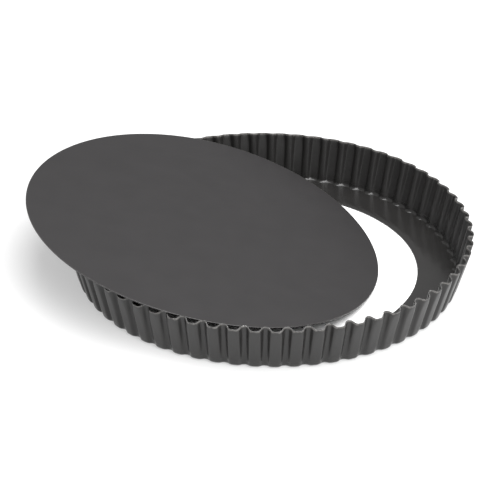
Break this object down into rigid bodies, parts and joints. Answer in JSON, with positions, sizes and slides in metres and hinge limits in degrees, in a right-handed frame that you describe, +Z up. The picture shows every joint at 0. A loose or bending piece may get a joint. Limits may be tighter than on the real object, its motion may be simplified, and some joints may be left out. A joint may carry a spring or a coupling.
{
  "type": "tart pan",
  "caption": "Round fluted tart pan in dark coated steel, with a flared wall, an inner ledge and a loose bottom disc lifted out and propped on the rim.",
  "frame": {"origin": "centre of the whole object's footprint, on the surface that the pan stands on, with the loose bottom propped on the rim", "axes": "+X from the side that the bottom overhangs towards the open side of the ring, +Y towards the back, +Z up"},
  "size_m": [0.3138, 0.2878, 0.0567],
  "materials": {
    "ring_coating": "dark grey non-stick coating on thin steel, satin, with bare bright metal on the cut rim",
    "bottom_coating": "dark grey non-stick coating on thin steel, matte"
  },
  "bodies": {
    "ring": {"fluted_ring": "ring_coating"},
    "bottom": {"loose_bottom": "bottom_coating"}
  },
  "joints": [
    {"name": "lift_bottom", "type": "slide", "parent": "ring", "child": "bottom", "axis": [0, 0, 1], "range_m": [0, 0.09]}
  ]
}
